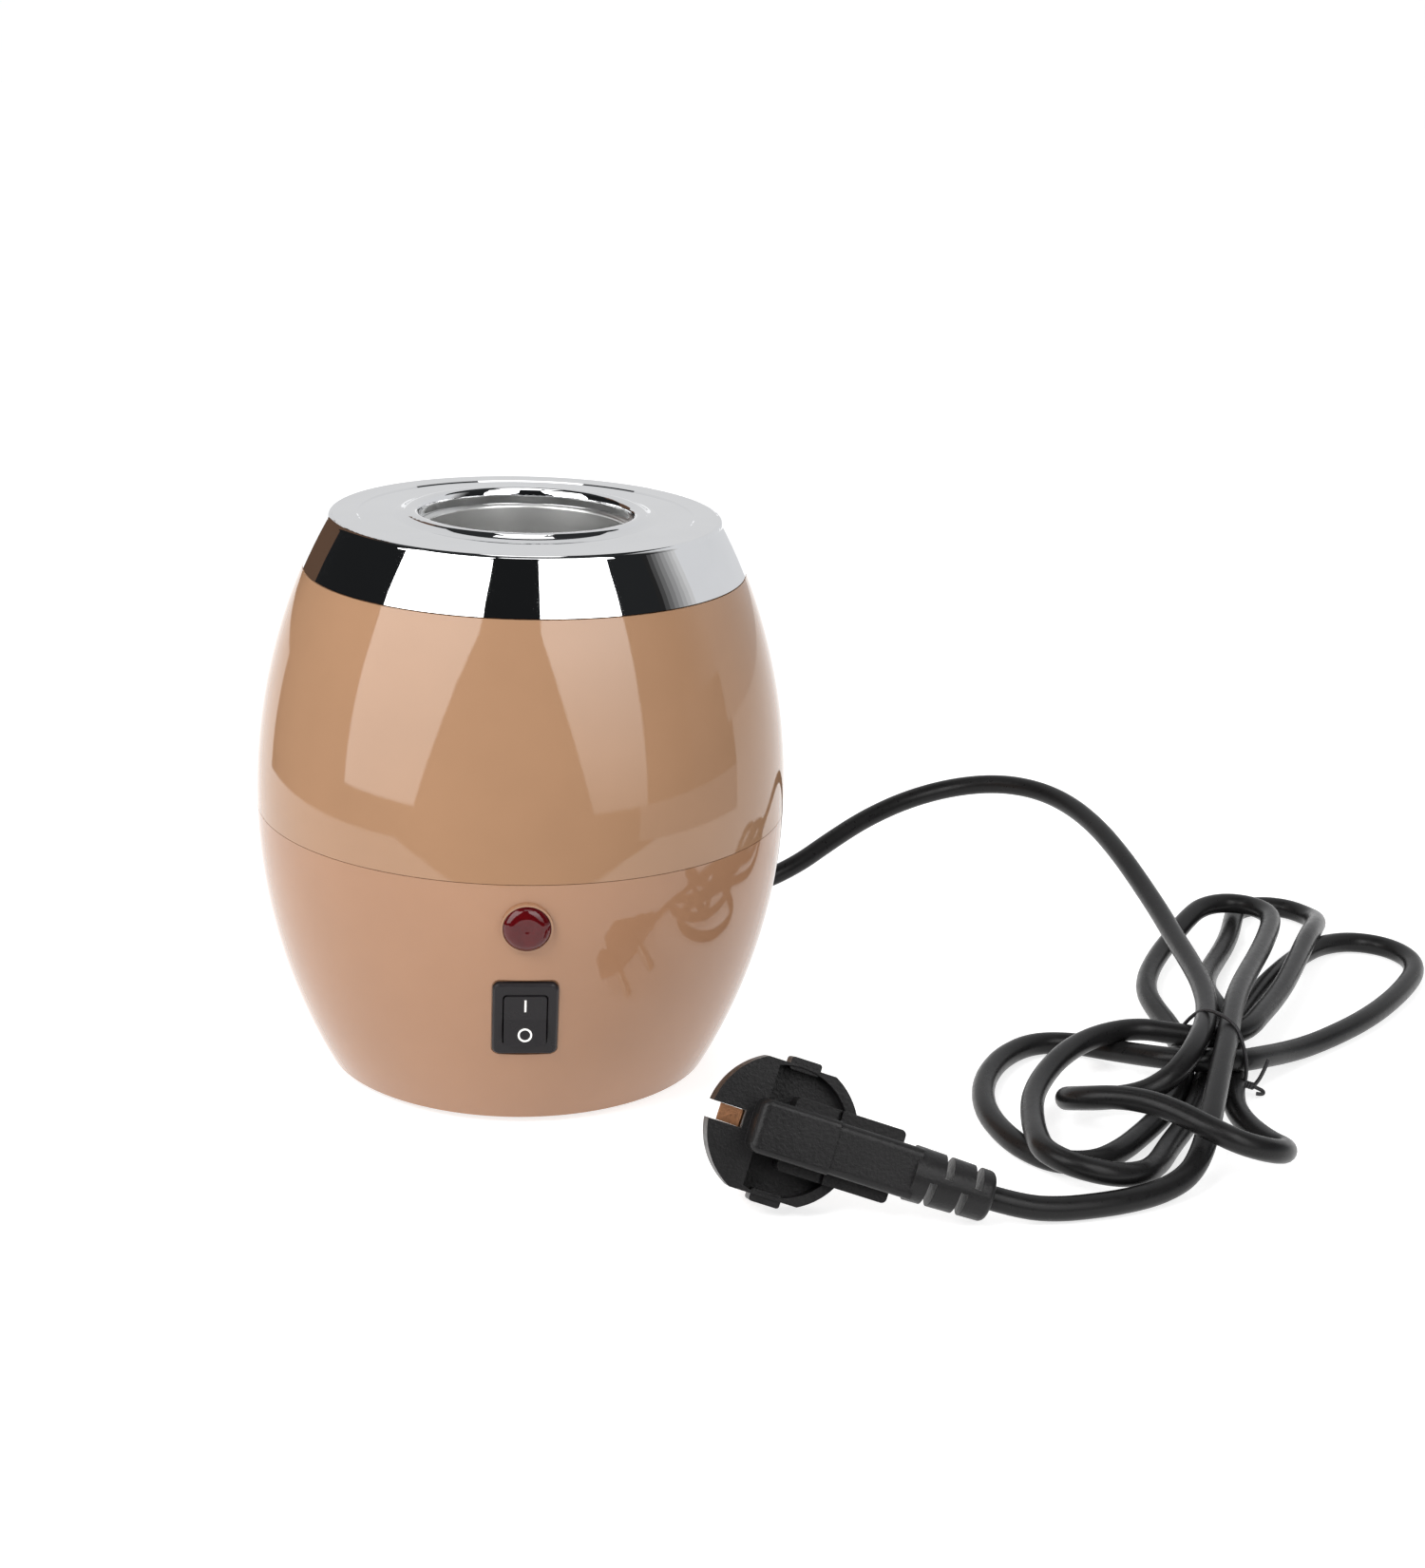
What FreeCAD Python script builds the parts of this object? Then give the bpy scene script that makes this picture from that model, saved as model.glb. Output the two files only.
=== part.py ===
import FreeCAD, Part
import math
import os

from FreeCAD import Placement, Rotation, Vector

# Single-bottle massage oil and lotion warmer: a barrel-shaped pot with a chrome top
# ring, an aluminium well, a pilot lamp, a rocker switch and a mains lead tied in a hank.
# Millimetres. The origin is on the table under the pot's centre, +Z is up, and the
# front with the switch faces -Y.

# ---- barrel -------------------------------------------------------------------
BELLY_R = 73.4  # widest radius of the pot
BELLY_Z = 77.3  # height of the widest point
ARC_R = 160.2  # radius of the side's vertical arc
SHELL_WALL = 2.6
SHELL_BOTTOM = 1.0
SEAM_Z = 75.0
SEAM_GAP = 0.16
CHROME_Z = 141.0  # lower edge of the chrome ring
RING_GAP = 0.3

# ---- chrome top ring ----------------------------------------------------------
RIM_TURN_Z = 154.5  # where the side starts to roll over
RIM_TOP_Z = 155.6
RIM_R = 52.0  # crest of the rim
RIM_INNER_DROP = 1.9  # the skin's inner corner below the turn
STEP_R = 45.2
DECK_Z = 155.3  # flat annulus
BEAD_FOOT_R = 36.0
BEAD_R = 31.0  # crest of the raised bead round the hole
BEAD_Z = 156.8
HOLE_R = 28.95
RING_WALL = 2.0
LIP_Z = 152.6  # underside of the hole's inner edge
BOSS_PCD_R = 46.0

# ---- well and heater ----------------------------------------------------------
WELL_R = 27.5
WELL_WALL = 1.2
WELL_TOP = 152.5
WELL_FLOOR = 46.0
WELL_FLANGE_R = 36.0
WELL_FLANGE_T = 1.3
WELL_CORNER = 5.0
BAND_R = WELL_R + WELL_WALL + 0.15
BAND_T = 1.5
BAND_Z = (56.0, 118.0)
CLAMP_Z = (64.0, 102.0)
CLAMP_H = 8.0
SLEEVE_R = 34.8
SLEEVE_T = 3.4
SLEEVE_Z = (50.0, 134.0)

# ---- controls -----------------------------------------------------------------
LAMP_Z = 63.4
LENS_R = 6.1
LENS_H = 2.6  # height of the flat eye above the seat
EYE_R = 2.9
COLLAR_R = 6.75
LAMP_HOLE_R = 5.1
SWITCH_Z = 36.0
BEZEL_W = 16.9
BEZEL_H = 22.8
BEZEL_T = 1.6
POCKET_DEPTH = 1.3
OPENING_W = 11.7
OPENING_H = 16.0
ROCKER_W = 11.1
ROCKER_H = 14.6
ROCKER_TILT = 9.0  # the rocker's lean either side of middle
ROCKER_PIVOT = -2.2  # pivot below the bezel's face
HOUSING_DEPTH = 15.0

# ---- base ---------------------------------------------------------------------
FLANGE_R = 40.0  # inner radius of the lower shell's base flange
FLANGE_Z = (3.7, 6.2)
PLATE_T = 2.5
PLATE_TOP = SHELL_BOTTOM + 0.1 + PLATE_T
FOOT_R = 5.0
FOOT_PCD_R = 40.0
BASE_SCREW_R = 45.5

# ---- mains lead ---------------------------------------------------------------
CORD_D = 6.4
GLAND_Z = 15.0
GLAND_TIP_Y = 88.0
# From the strain relief's tip, down to the table, up in the long arch and to the hank.
LEAD_ROUTE = [
    (0.0, 88.0, 15.0),
    (0.0, 103.0, 15.0),
    (5.0, 118.0, 13.2),
    (16.5, 128.5, 10.2),
    (32.0, 131.5, 7.0),
    (49.0, 128.5, 4.6),
    (66.0, 123.5, 3.5),
    (82.0, 121.5, 4.5),
    (96.0, 126.5, 9.5),
    (108.5, 134.5, 15.5),
    (121.5, 142.5, 21.0),
    (136.5, 148.5, 26.0),
    (152.5, 150.5, 30.0),
    (167.5, 147.5, 32.6),
    (179.5, 139.0, 33.3),
    (188.0, 126.0, 32.5),
    (193.8, 109.0, 30.4),
    (197.8, 90.0, 27.0),
    (200.8, 71.0, 22.8),
    (202.5, 53.0, 19.8),
    (202.8, 36.0, 18.0),
    (202.8, 20.0, 17.2),
]
# From the hank along the table to the plug's strain relief.
TAIL_ROUTE = [
    (186.5, -67.0, 13.2),
    (181.5, -80.0, 11.0),
    (177.0, -90.5, 8.0),
    (171.5, -98.5, 5.0),
    (163.5, -104.0, 3.4),
    (154.0, -108.5, 3.2),
    (144.0, -111.5, 3.2),
    (133.5, -113.5, 3.3),
    (124.2, -114.1, 4.4),
    (115.7, -113.3, 6.8),
]
# Outline of the tied hank, seen from above: the left loops, the waist, the right loops.
HANK_OUTLINE = [
    (188, -9), (170, -5), (150, -11), (131, -24), (121, -48), (120, -74), (130, -98),
    (146, -107), (164, -100), (187, -103), (194, -72), (204, -40), (211, -31),
    (230, -24), (256, -1), (277, 24), (284, 48), (278, 64), (263, 72), (262, 96),
    (249, 105), (234, 98), (205, 66), (188, 36), (183, 8),
]
HANK_Z = (1.6, 19.0)
TIE_CENTRE = (198.0, -21.0)
TIE_HEADING = 49.0  # way the cord runs through the tie
TIE_WIDTH = 30.0
TIE_WIRE = 1.2

# ---- plug ---------------------------------------------------------------------
PLUG_CENTRE = (64.0, -104.7)
PLUG_HEADING = -5.4
PLUG_PITCH = 17.0  # cable end down
PLUG_ROLL = 23.3  # back face leans up
PLUG_R = 19.2
PLUG_T = 9.0
PLUG_LIFT = 21.1  # height of the back face's centre
DISH_R = 16.6
DISH_DEPTH = 5.0
DISH_START_X = -5.7  # the back is solid from here to the notched edge
PIN_R = 2.4
PIN_L = 19.0
PIN_HALF = 9.5
PLUG_AXIS_Z = 4.0  # cable axis above the back face
GRIP_END = 34.0
RELIEF_END = 54.2
FLAT_Y = 17.0  # half the width over the disc's two flats
LUG_Y = 18.8  # half the width over the two lugs
LUG_X = (-3.2, 4.8)
NOTCH_W = 4.6
NOTCH_DEPTH_X = -10.4
SLOT_W = 2.0
UPPER_SLOTS = (40.6, 48.5)
LOWER_SLOTS = (37.2, 45.5)

NODES = {}

X = Vector(1, 0, 0)
Y = Vector(0, 1, 0)
Z = Vector(0, 0, 1)


# ---- helpers ------------------------------------------------------------------
def side_radius(z, inset=0.0):
    """Radius of the barrel's side at height z, inset along its normal."""
    return BELLY_R - ARC_R + math.sqrt((ARC_R - inset) ** 2 - (z - BELLY_Z) ** 2)


def side_point(z, inset=0.0):
    return Vector(side_radius(z, inset), 0, z)


def side_arc(low, high, inset=0.0):
    return Part.Arc(
        side_point(low, inset), side_point((low + high) / 2, inset), side_point(high, inset)
    ).toShape()


def at(r, z):
    return Vector(r, 0, z)


def line(a, b):
    return Part.LineSegment(a, b).toShape()


def turned(edges):
    """The solid that a closed outline in the XZ plane makes when turned about Z."""
    wire = Part.Wire(Part.__sortEdges__(edges))
    return Part.Face(wire).revolve(Vector(0, 0, 0), Z, 360)


def cylinder(radius, height, base, direction=Z):
    return Part.makeCylinder(radius, height, Vector(*base), direction)


def ring(outer, inner, low, high):
    whole = cylinder(outer, high - low, (0, 0, low))
    return whole.cut(cylinder(inner, high - low + 2, (0, 0, low - 1)))


def block(low, high):
    size = Vector(*high) - Vector(*low)
    return Part.makeBox(size.x, size.y, size.z, Vector(*low))


def rounded_block(low, high, radius, direction="z"):
    """A box whose four edges along one direction are rounded."""
    shape = block(low, high)
    axis = {"x": X, "y": Y, "z": Z}[direction]
    edges = [e for e in shape.Edges if abs(e.tangentAt(e.FirstParameter).dot(axis)) > 0.99]
    return shape.makeFillet(radius, edges)


def turned_to(shape, degrees):
    copy = shape.copy()
    copy.rotate(Vector(0, 0, 0), Z, degrees)
    return copy


def around(shape, count, start=0.0):
    return [turned_to(shape, start + 360.0 / count * i) for i in range(count)]


def fused(shapes):
    whole = shapes[0]
    for shape in shapes[1:]:
        whole = whole.fuse(shape)
    return whole.removeSplitter()


def cut_all(shape, tools):
    for tool in tools:
        shape = shape.cut(tool)
    return shape


def front_place(z):
    """A frame on the pot's front at height z: X to the right, Y up the side, Z outward."""
    lean = math.degrees(math.asin((BELLY_Z - z) / ARC_R))
    return Placement(Vector(0, -side_radius(z), z), Rotation(X, 90 + lean))


def placed(shape, placement):
    copy = shape.copy()
    copy.Placement = placement.multiply(copy.Placement)
    return copy


def route_edges(points):
    """Straight runs joined by tangent arcs, each as large as its two runs allow."""
    corners = [Vector(*p) for p in points]
    edges = []
    radii = []
    start = corners[0]
    for before, corner, after in zip(corners, corners[1:], corners[2:]):
        into = corner - before
        out = after - corner
        half = into.getAngle(out) / 2
        trim = 0.45 * min(into.Length, out.Length)
        radii.append(trim / math.tan(half))
        u = Vector(into).normalize()
        v = Vector(out).normalize()
        first = corner - u * trim
        last = corner + v * trim
        inward = (v - u).normalize()
        middle = corner + inward * (radii[-1] / math.cos(half) - radii[-1])
        edges.append(line(start, first))
        edges.append(Part.Arc(first, middle, last).toShape())
        start = last
    edges.append(line(start, corners[-1]))
    return edges, radii


def tube(points, radius, name):
    """A round tube along a route; prints its length, tightest bend and volume error."""
    if len(points) == 2:
        low, high = Vector(*points[0]), Vector(*points[1])
        return Part.makeCylinder(radius, (high - low).Length, low, high - low)
    edges, radii = route_edges(points)
    path = Part.Wire(edges)
    heading = Vector(*points[1]) - Vector(*points[0])
    section = Part.Wire(Part.makeCircle(radius, Vector(*points[0]), heading))
    solid = path.makePipeShell([section], True, False)
    error = solid.Volume / (math.pi * radius**2 * path.Length) - 1
    bends = " ".join(f"{r:.0f}" for r in radii)
    print(f"{name}: {path.Length:.0f} mm, volume {error:+.4f}, bend radii {bends}")
    return solid


def group(shapes):
    return Part.makeCompound(shapes)


# ---- shells -------------------------------------------------------------------
def screw_lug(z_low, z_high, hole_r):
    """A block on the shell's inside wall that a vertical joining screw passes or enters."""
    reach = side_radius((z_low + z_high) / 2, SHELL_WALL / 2)
    body = block((57.0, -4.5, z_low), (reach, 4.5, z_high))
    inside = turned([
        side_arc(z_low - 1, z_high + 1, SHELL_WALL / 2),
        line(side_point(z_high + 1, SHELL_WALL / 2), at(0, z_high + 1)),
        line(at(0, z_high + 1), at(0, z_low - 1)),
        line(at(0, z_low - 1), side_point(z_low - 1, SHELL_WALL / 2)),
    ])
    return body.common(inside).cut(cylinder(hole_r, z_high - z_low + 2, (61.5, 0, z_low - 1)))


def make_lower_shell():
    top = SEAM_Z - SEAM_GAP / 2
    tongue_top = top + 2.4
    wall = turned([
        side_arc(SHELL_BOTTOM + 0.8, top),
        line(side_point(top), side_point(top, 1.3)),
        side_arc(top, tongue_top, 1.3),
        line(side_point(tongue_top, 1.3), side_point(tongue_top, SHELL_WALL)),
        side_arc(SHELL_BOTTOM, tongue_top, SHELL_WALL),
        line(side_point(SHELL_BOTTOM, SHELL_WALL), side_point(SHELL_BOTTOM, 0.9)),
        line(side_point(SHELL_BOTTOM, 0.9), side_point(SHELL_BOTTOM + 0.8)),
    ])
    flange = ring(side_radius(FLANGE_Z[0], 1.0), FLANGE_R, *FLANGE_Z)
    boss = cylinder(3.6, 7.0, (BASE_SCREW_R, 0, FLANGE_Z[1] - 0.5))
    lug = screw_lug(SEAM_Z - 8.0, SEAM_Z - 1.2, 1.8)
    collar = cylinder(COLLAR_R, 6.0, (0, 0, -5.0))
    pad = cylinder(10.0, 12.0, (0, 50.5, GLAND_Z), Y)
    parts = [wall, flange] + around(boss, 4, 45) + around(lug, 3, 90)
    parts += [placed(collar, front_place(LAMP_Z)), pad]
    shell = fused(parts)
    lamp_hole = cylinder(LAMP_HOLE_R, 20.0, (0, 0, -10.0))
    lens_seat = cylinder(LENS_R + 0.15, 4.0, (0, 0, 0.1))
    pocket = rounded_block((-8.75, -12.1, -POCKET_DEPTH), (8.75, 12.3, 8.0), 2.2)
    switch_hole = rounded_block((-7.25, -9.8, -12.0), (7.25, 9.8, 2.0), 0.8)
    seat_back = block((-11.0, -14.0, -8.0), (11.0, 14.0, -POCKET_DEPTH - 2.2))
    tools = [placed(tool, front_place(LAMP_Z)) for tool in (lamp_hole, lens_seat)]
    tools += [placed(tool, front_place(SWITCH_Z)) for tool in (pocket, switch_hole, seat_back)]
    tools += around(cylinder(1.3, 6.0, (BASE_SCREW_R, 0, FLANGE_Z[0] - 1)), 4, 45)
    tools.append(cylinder(6.4, 30.0, (0, 40.0, GLAND_Z), Y))
    tools.append(cylinder(7.9, 10.0, (0, 62.5, GLAND_Z), Y))
    return cut_all(shell, tools)


def make_upper_shell():
    low = SEAM_Z + SEAM_GAP / 2
    rebate_top = low + 2.4
    high = CHROME_Z - RING_GAP / 2
    deck_low = high - 2.6
    wall = turned([
        side_arc(low, high),
        line(side_point(high), side_point(high, SHELL_WALL)),
        side_arc(rebate_top, high, SHELL_WALL),
        line(side_point(rebate_top, SHELL_WALL), side_point(rebate_top, 1.15)),
        side_arc(low, rebate_top, 1.15),
        line(side_point(low, 1.15), side_point(low)),
    ])
    deck = ring(side_radius(deck_low, 1.0), 35.0, deck_low, high)
    collar = ring(37.6, 35.0, high - 0.5, 148.8)
    lug = screw_lug(SEAM_Z + 3.4, SEAM_Z + 12.0, 1.2)
    shell = fused([wall, deck, collar] + around(lug, 3, 90))
    holes = around(cylinder(1.7, 6.0, (BOSS_PCD_R, 0, deck_low - 1)), 3, 90)
    return cut_all(shell, holes)


def make_base_plate():
    low = PLATE_TOP - PLATE_T
    plate = cylinder(side_radius(low, SHELL_WALL) - 0.3, PLATE_T, (0, 0, low))
    tools = around(cylinder(FOOT_R + 0.05, 1.2, (FOOT_PCD_R, 0, low - 0.1)), 4)
    tools += around(cylinder(1.7, 5.0, (BASE_SCREW_R, 0, 0)), 4, 45)
    tools += around(cylinder(3.2, 1.2, (BASE_SCREW_R, 0, low - 0.1)), 4, 45)
    for radius in (14.0, 22.0):
        slot = rounded_block((radius, -5.0, 0), (radius + 2.2, 5.0, 5.0), 1.0)
        tools += around(slot, 6)
    return cut_all(plate, tools)


def make_feet():
    foot = cylinder(FOOT_R, 2.1, (FOOT_PCD_R, 0, 0))
    edge = [e for e in foot.Edges if e.BoundBox.ZMax < 0.01]
    return group(around(foot.makeFillet(0.5, edge), 4))


def screw(radius, length, head_r, head_h, base, up):
    """A pan-head screw: base is the underside of its head, up is the way it points."""
    way = Vector(*up)
    start = Vector(*base)
    shank = Part.makeCylinder(radius, length, start, way)
    head = Part.makeCylinder(head_r, head_h, start - way * head_h, way)
    recess = Part.makeCylinder(head_r * 0.35, head_h * 0.5, start - way * (head_h + 0.01), way)
    return shank.fuse(head).cut(recess)


def make_base_screws():
    one = screw(1.2, 4.4, 2.9, 0.8, (BASE_SCREW_R, 0, SHELL_BOTTOM + 1.1), (0, 0, 1))
    return group(around(one, 4, 45))


def make_shell_screws():
    one = screw(1.15, 15.5, 2.6, 1.6, (61.5, 0, SEAM_Z - 8.0), (0, 0, 1))
    return group(around(one, 3, 90))


# ---- top ring and well --------------------------------------------------------
def make_top_ring():
    low = CHROME_Z + RING_GAP / 2
    skin = RING_WALL
    turn = side_point(RIM_TURN_Z)
    crest = at(RIM_R, RIM_TOP_Z)
    inner_turn = side_point(RIM_TURN_Z - RIM_INNER_DROP, skin)
    under = DECK_Z - skin
    outline = [
        line(side_point(low, skin), side_point(low)),
        side_arc(low, RIM_TURN_Z),
        Part.Arc(turn, at(RIM_R + 1.1, RIM_TOP_Z - 0.33), crest).toShape(),
        line(crest, at(STEP_R + 0.5, RIM_TOP_Z)),
        line(at(STEP_R + 0.5, RIM_TOP_Z), at(STEP_R, DECK_Z)),
        line(at(STEP_R, DECK_Z), at(BEAD_FOOT_R, DECK_Z)),
        Part.Arc(at(BEAD_FOOT_R, DECK_Z), at(34.3, DECK_Z + 0.35), at(33.0, 156.2)).toShape(),
        Part.Arc(at(33.0, 156.2), at(BEAD_R, BEAD_Z), at(29.4, 156.1)).toShape(),
        Part.Arc(at(29.4, 156.1), at(29.05, 155.3), at(HOLE_R, 154.4)).toShape(),
        line(at(HOLE_R, 154.4), at(HOLE_R, LIP_Z)),
        line(at(HOLE_R, LIP_Z), at(HOLE_R + 1.5, LIP_Z)),
        line(at(HOLE_R + 1.5, LIP_Z), at(HOLE_R + 1.9, 154.4)),
        line(at(HOLE_R + 1.9, 154.4), at(33.6, under)),
        line(at(33.6, under), at(RIM_R - 0.6, under)),
        line(at(RIM_R - 0.6, under), inner_turn),
        side_arc(low, RIM_TURN_Z - RIM_INNER_DROP, skin),
    ]
    body = turned(outline)
    bosses = around(cylinder(3.0, under + 0.4 - low, (BOSS_PCD_R, 0, low)), 3, 90)
    holes = around(cylinder(1.15, 9.0, (BOSS_PCD_R, 0, low - 1)), 3, 90)
    return cut_all(fused([body] + bosses), holes)


def make_ring_screws():
    base_z = CHROME_Z - RING_GAP / 2 - 2.6
    one = screw(1.1, 9.5, 2.6, 1.6, (BOSS_PCD_R, 0, base_z), (0, 0, 1))
    return group(around(one, 3, 90))


def make_well():
    outer = WELL_R + WELL_WALL
    bottom = WELL_FLOOR - 1.5
    lip = 1.1
    c = WELL_CORNER
    k = 1 - math.sqrt(0.5)
    outline = [
        line(at(0, WELL_FLOOR), at(WELL_R - c, WELL_FLOOR)),
        Part.Arc(at(WELL_R - c, WELL_FLOOR), at(WELL_R - c * k, WELL_FLOOR + c * k),
                 at(WELL_R, WELL_FLOOR + c)).toShape(),
        line(at(WELL_R, WELL_FLOOR + c), at(WELL_R, WELL_TOP - lip)),
        Part.Arc(at(WELL_R, WELL_TOP - lip), at(WELL_R + lip * k, WELL_TOP - lip * k),
                 at(WELL_R + lip, WELL_TOP)).toShape(),
        line(at(WELL_R + lip, WELL_TOP), at(WELL_FLANGE_R, WELL_TOP)),
        line(at(WELL_FLANGE_R, WELL_TOP), at(WELL_FLANGE_R, WELL_TOP - WELL_FLANGE_T)),
        line(at(WELL_FLANGE_R, WELL_TOP - WELL_FLANGE_T), at(outer, WELL_TOP - WELL_FLANGE_T)),
        line(at(outer, WELL_TOP - WELL_FLANGE_T), at(outer, bottom + c)),
        Part.Arc(at(outer, bottom + c), at(outer - c * k, bottom + c * k),
                 at(outer - c, bottom)).toShape(),
        line(at(outer - c, bottom), at(0, bottom)),
        line(at(0, bottom), at(0, WELL_FLOOR)),
    ]
    studs = [cylinder(3.4, 4.2, (s * 12.5, 0, bottom - 4.0)) for s in (-1, 1)]
    studs.append(cylinder(3.0, 4.2, (0, 17.0, bottom - 4.0)))
    well = fused([turned(outline)] + studs)
    holes = [cylinder(1.3, 3.6, (s * 12.5, 0, bottom - 4.1)) for s in (-1, 1)]
    holes.append(cylinder(1.3, 3.6, (0, 17.0, bottom - 4.1)))
    return cut_all(well, holes)


def make_well_seal():
    low = 148.9
    high = WELL_TOP - WELL_FLANGE_T
    return ring(37.4, 30.4, low, high - 0.05)


# ---- heater -------------------------------------------------------------------
def rear_gap(width, low, high):
    return block((-width / 2, 20.0, low), (width / 2, 60.0, high))


def make_heater_band():
    return ring(BAND_R + BAND_T, BAND_R, *BAND_Z).cut(rear_gap(6.0, 50.0, 130.0))


def make_heater_clamps():
    inner = BAND_R + BAND_T + 0.05
    straps = []
    for low in CLAMP_Z:
        strap = ring(inner + 0.6, inner, low, low + CLAMP_H).cut(rear_gap(8.0, low - 1, low + 9))
        ears = []
        for side in (-1, 1):
            near, far = sorted((side * 4.0, side * 4.8))
            ear = block((near, inner - 1.0, low), (far, inner + 7.5, low + CLAMP_H))
            ear = ear.cut(cylinder(inner + 0.02, CLAMP_H + 2, (0, 0, low - 1)))
            ears.append(ear.cut(cylinder(1.6, 12.0, (-6, inner + 4.4, low + CLAMP_H / 2), X)))
        straps.append(fused([strap] + ears))
    return group(straps)


def make_clamp_screws():
    y = BAND_R + BAND_T + 4.45
    screws = []
    for low in CLAMP_Z:
        z = low + CLAMP_H / 2
        one = screw(1.4, 12.2, 2.6, 1.8, (-4.9, y, z), (1, 0, 0))
        nut = Part.makeCylinder(2.7, 2.0, Vector(4.9, y, z), X)
        screws.append(one.fuse(nut))
    return group(screws)


def make_insulation():
    sleeve = ring(SLEEVE_R + SLEEVE_T, SLEEVE_R, *SLEEVE_Z)
    return sleeve.cut(rear_gap(22.0, 40.0, 140.0))


def make_thermostat():
    """A snap-disc thermostat: flange, body and two blades under the well."""
    top = WELL_FLOOR - 1.6
    disc = cylinder(8.0, 3.8, (0, 0, top - 3.9))
    flange = block((-15.5, -3.2, top - 4.9), (15.5, 3.2, top - 3.95))
    flange = cut_all(flange, [cylinder(1.7, 3, (s * 12.5, 0, top - 6)) for s in (-1, 1)])
    body = cylinder(8.0, 8.0, (0, 0, top - 12.9))
    blades = [block((s * 4.5 - 0.4, -3.1, top - 20.0), (s * 4.5 + 0.4, 3.1, top - 12.8))
              for s in (-1, 1)]
    neck = cylinder(8.0, 1.1, (0, 0, top - 4.95))
    return fused([disc, flange, neck, body] + blades)


def make_thermostat_screws():
    z = WELL_FLOOR - 1.6 - 4.95
    return group([screw(1.25, 4.2, 2.5, 1.4, (s * 12.5, 0, z), (0, 0, 1)) for s in (-1, 1)])


def make_thermal_fuse():
    middle = (BAND_R + BAND_T + SLEEVE_R) / 2
    fuse = cylinder(1.9, 12.0, (middle, 0, 84.0))
    leads = [cylinder(0.4, 6.0, (middle, 0, 78.2)), cylinder(0.4, 6.0, (middle, 0, 95.8))]
    return turned_to(fused([fuse] + leads), 150)


# ---- pilot lamp ---------------------------------------------------------------
def make_lamp_lens():
    """A domed lens with a nearly flat eye in its middle."""
    base = 0.15
    rim = base + 0.9
    dome = turned([
        line(at(0, base), at(LENS_R, base)),
        line(at(LENS_R, base), at(LENS_R, rim)),
        Part.Arc(at(LENS_R, rim), at(5.0, base + 2.1), at(EYE_R, base + LENS_H)).toShape(),
        line(at(EYE_R, base + LENS_H), at(0, base + LENS_H + 0.12)),
        line(at(0, base + LENS_H + 0.12), at(0, base)),
    ])
    return placed(dome, front_place(LAMP_Z))


def make_lamp_body():
    sleeve = cylinder(LAMP_HOLE_R - 0.15, 20.0, (0, 0, -19.9))
    bore = cylinder(3.6, 18.5, (0, 0, -18.5 + 0.2))
    return placed(sleeve.cut(bore), front_place(LAMP_Z))


def make_lamp_clip():
    clip = cylinder(8.0, 0.6, (0, 0, -6.4)).cut(cylinder(LAMP_HOLE_R, 2.0, (0, 0, -7.0)))
    teeth = around(block((LAMP_HOLE_R - 0.05, -0.8, -6.4), (6.6, 0.8, -5.3)), 4, 45)
    return placed(fused([clip] + teeth), front_place(LAMP_Z))


def make_neon_bulb():
    glass = cylinder(2.7, 12.0, (0, 0, -15.0))
    tip = Part.makeSphere(2.7, Vector(0, 0, -3.0))
    leads = [cylinder(0.3, 6.0, (s * 1.1, 0, -18.2)) for s in (-1, 1)]
    glass = glass.fuse(tip)
    return placed(fused([glass] + leads), front_place(LAMP_Z))


# ---- rocker switch ------------------------------------------------------------
def bezel_face():
    return -POCKET_DEPTH + BEZEL_T


def make_switch_housing():
    low = -POCKET_DEPTH
    face = bezel_face()
    bezel = rounded_block(
        (-BEZEL_W / 2, -BEZEL_H / 2, low), (BEZEL_W / 2, BEZEL_H / 2, face), 1.9
    )
    top_edges = [e for e in bezel.Edges if e.BoundBox.ZMin > face - 0.01]
    bezel = bezel.makeChamfer(0.5, top_edges)
    body = rounded_block((-7.1, -9.6, low - HOUSING_DEPTH), (7.1, 9.6, low + 0.4), 0.6)
    latches = [
        block((-3.0, s * 9.6 - 0.6, low - 7.5), (3.0, s * 9.6 + 0.6, low - 2.4)) for s in (-1, 1)
    ]
    opening = rounded_block(
        (-OPENING_W / 2, -OPENING_H / 2, low - HOUSING_DEPTH + 1.6),
        (OPENING_W / 2, OPENING_H / 2, face + 1),
        1.0,
    )
    housing = cut_all(fused([bezel, body] + latches), [opening])
    return placed(housing, front_place(SWITCH_Z))


def rocker_turn(shape, degrees):
    copy = shape.copy()
    copy.rotate(Vector(0, 0, bezel_face() + ROCKER_PIVOT), X, degrees)
    return copy


def rocker_blank():
    """The rocker in its middle position: a shallow V on top and a round belly beneath."""
    face = bezel_face()
    half = ROCKER_H / 2
    dip = face + 0.35
    tip = face + 1.45
    pivot = face + ROCKER_PIVOT
    points = [(-half, pivot + 0.6), (-half, tip), (0, dip), (half, tip), (half, pivot + 0.6)]
    corners = [Vector(-ROCKER_W / 2, y, z) for y, z in points]
    belly = Vector(-ROCKER_W / 2, 0, pivot - 3.4)
    outline = [line(a, b) for a, b in zip(corners, corners[1:])]
    outline.append(Part.Arc(corners[-1], belly, corners[0]).toShape())
    blank = Part.Face(Part.Wire(outline)).extrude(Vector(ROCKER_W, 0, 0))
    uprights = [
        e for e in blank.Edges
        if abs(e.tangentAt(e.FirstParameter).z) > 0.99 and e.BoundBox.ZMax > face + 1
    ]
    return blank.makeFillet(1.0, uprights)


def facet_place(side):
    """A frame on the rocker's upper (+1) or lower (-1) facet, in its middle position."""
    face = bezel_face()
    slope = math.degrees(math.atan2(1.1, ROCKER_H / 2))
    reach = 4.3
    height = face + 0.35 + reach * math.tan(math.radians(slope))
    return Placement(Vector(0, side * reach, height), Rotation(X, side * slope))


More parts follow.
